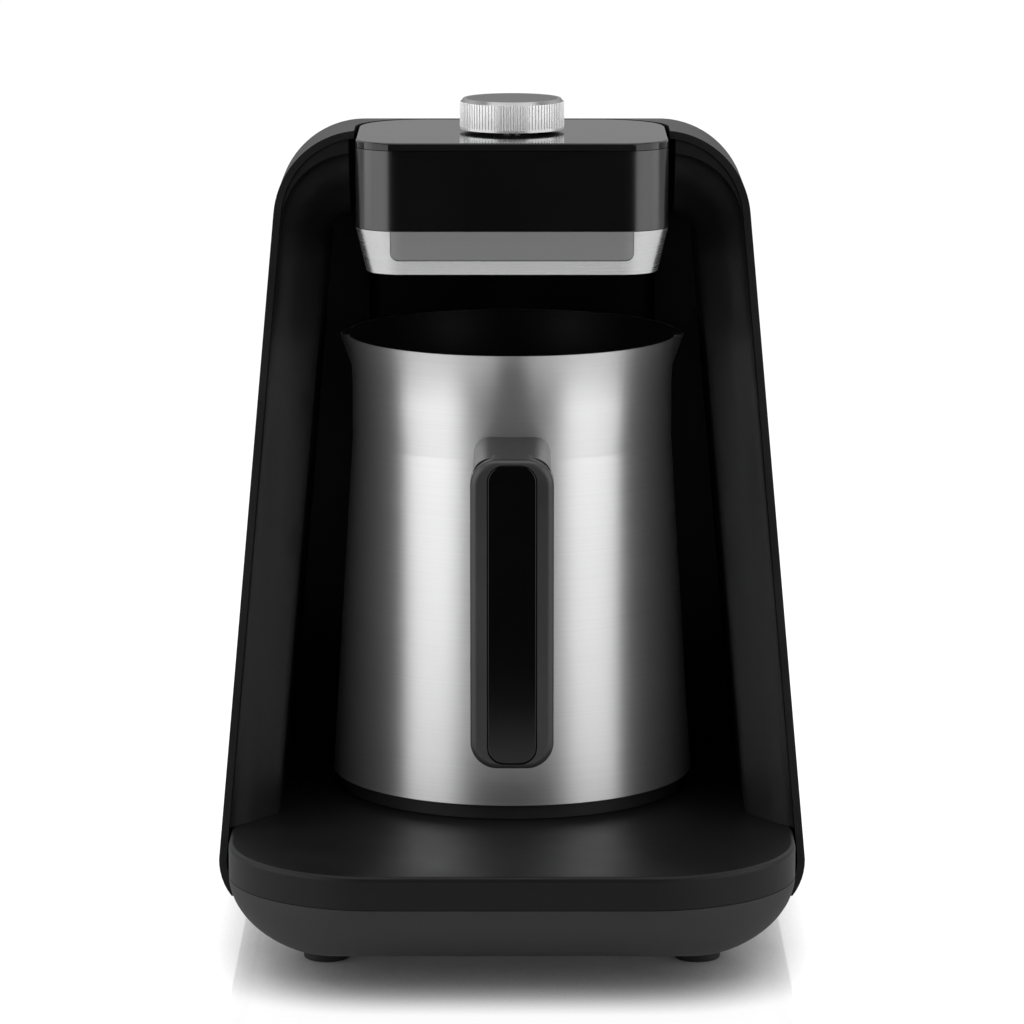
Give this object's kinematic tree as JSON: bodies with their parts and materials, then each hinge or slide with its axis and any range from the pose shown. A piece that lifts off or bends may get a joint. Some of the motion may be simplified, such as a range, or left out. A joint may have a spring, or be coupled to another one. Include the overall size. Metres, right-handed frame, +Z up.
{
  "type": "electric turkish coffee maker",
  "caption": "Tabletop coffee maker: tapered housing with an arched bay, overhanging head with a turn-and-push knob, and a lift-out two-spouted steel jug with a handle.",
  "frame": {"origin": "centre of the footprint's bounding box, on the table", "axes": "+X to the viewer's right, -Y to the front where the jug and platform are, +Z up"},
  "size_m": [0.1882, 0.238, 0.272],
  "materials": {
    "matte_black": "fine matte moulding grain",
    "dark_casing": "matte moulding",
    "gloss_black": "piano gloss",
    "smoked_plate": "smoked gloss plate",
    "chrome_trim": "satin chrome plating",
    "trim_panel_grey": "grey satin",
    "rubber_black": "rubber",
    "knob_chrome": "chrome with fine upright flutes",
    "knob_dark": "dark bevel",
    "knob_spun": "spun face",
    "plastic_grey": "moulded",
    "shaft_steel": "turned",
    "screw_steel": "zinc plated",
    "contact_brass": "bright",
    "board_green": "circuit board",
    "component_black": "moulded component",
    "lens_clear": "clear",
    "core_steel": "laminated",
    "copper": "enamelled winding",
    "aluminium": "plain",
    "terminal_green": "moulded",
    "connector_plastic": "heat resistant moulding",
    "jug_steel": "brushed round the jug",
    "element_steel": "sheathed tube",
    "jug_base_black": "heat resistant moulding",
    "handle_satin": "satin"
  },
  "bodies": {
    "machine": {"base_pan": "dark_casing", "base_screws": "screw_steel", "bay_liner": "matte_black", "buzzer": "component_black", "capacitors": "component_black", "column_cover": "matte_black", "contact_sleeves": "contact_brass", "control_board": "board_green", "control_screws": "screw_steel", "cord_gland": "rubber_black", "encoder_body": "plastic_grey", "fascia": "matte_black", "feet": "rubber_black", "fuse": "lens_clear", "head_housing": "gloss_black", "head_trim": "chrome_trim", "head_under_cover": "dark_casing", "jug_connector": "connector_plastic", "jug_leads": "rubber_black", "lead_clamp": "component_black", "platform": "matte_black", "power_board": "board_green", "power_screws": "screw_steel", "processor": "component_black", "rear_panel": "matte_black", "relay": "plastic_grey", "ribbon_socket": "component_black", "sensor_board": "board_green", "sensor_emitters": "component_black", "sensor_lens": "lens_clear", "sensor_screws": "screw_steel", "shell_crown": "matte_black", "shell_walls": "matte_black", "signal_ribbon": "rubber_black", "switch_dome": "contact_brass", "terminal_block": "terminal_green", "top_plate": "smoked_plate", "transformer_core": "core_steel", "transformer_winding": "copper", "triac": "component_black", "triac_heatsink": "aluminium", "trim_panel": "trim_panel_grey"},
    "encoder_wheel": {"encoder_rotor": "shaft_steel"},
    "knob": {"encoder_shaft": "shaft_steel", "knob_bezel": "knob_dark", "knob_disc": "knob_spun", "knob_hub": "plastic_grey", "knob_skirt": "knob_chrome"},
    "jug": {"handle_bracket": "jug_steel", "handle_frame": "handle_satin", "handle_inset": "gloss_black", "handle_screw": "screw_steel", "heater_plate": "aluminium", "heating_element": "element_steel", "inlet_pins": "contact_brass", "jug_base": "jug_base_black", "jug_body": "jug_steel", "jug_inlet": "connector_plastic", "jug_screws": "screw_steel", "thermal_cutout": "component_black"}
  },
  "joints": [
    {"name": "knob_turn", "type": "hinge", "parent": "machine", "child": "encoder_wheel", "pos_m": [0, -0.01245, 0.252], "axis": [0, 0, 1], "continuous": true},
    {"name": "knob_press", "type": "slide", "parent": "encoder_wheel", "child": "knob", "axis": [0, 0, -1], "range_m": [0, 0.0008], "stiffness_N_per_m": 1200, "springref_m": -0.0008},
    {"name": "jug_pull", "type": "slide", "parent": "machine", "child": "jug", "axis": [0, -1, 0], "range_m": [0, 0.2]}
  ]
}
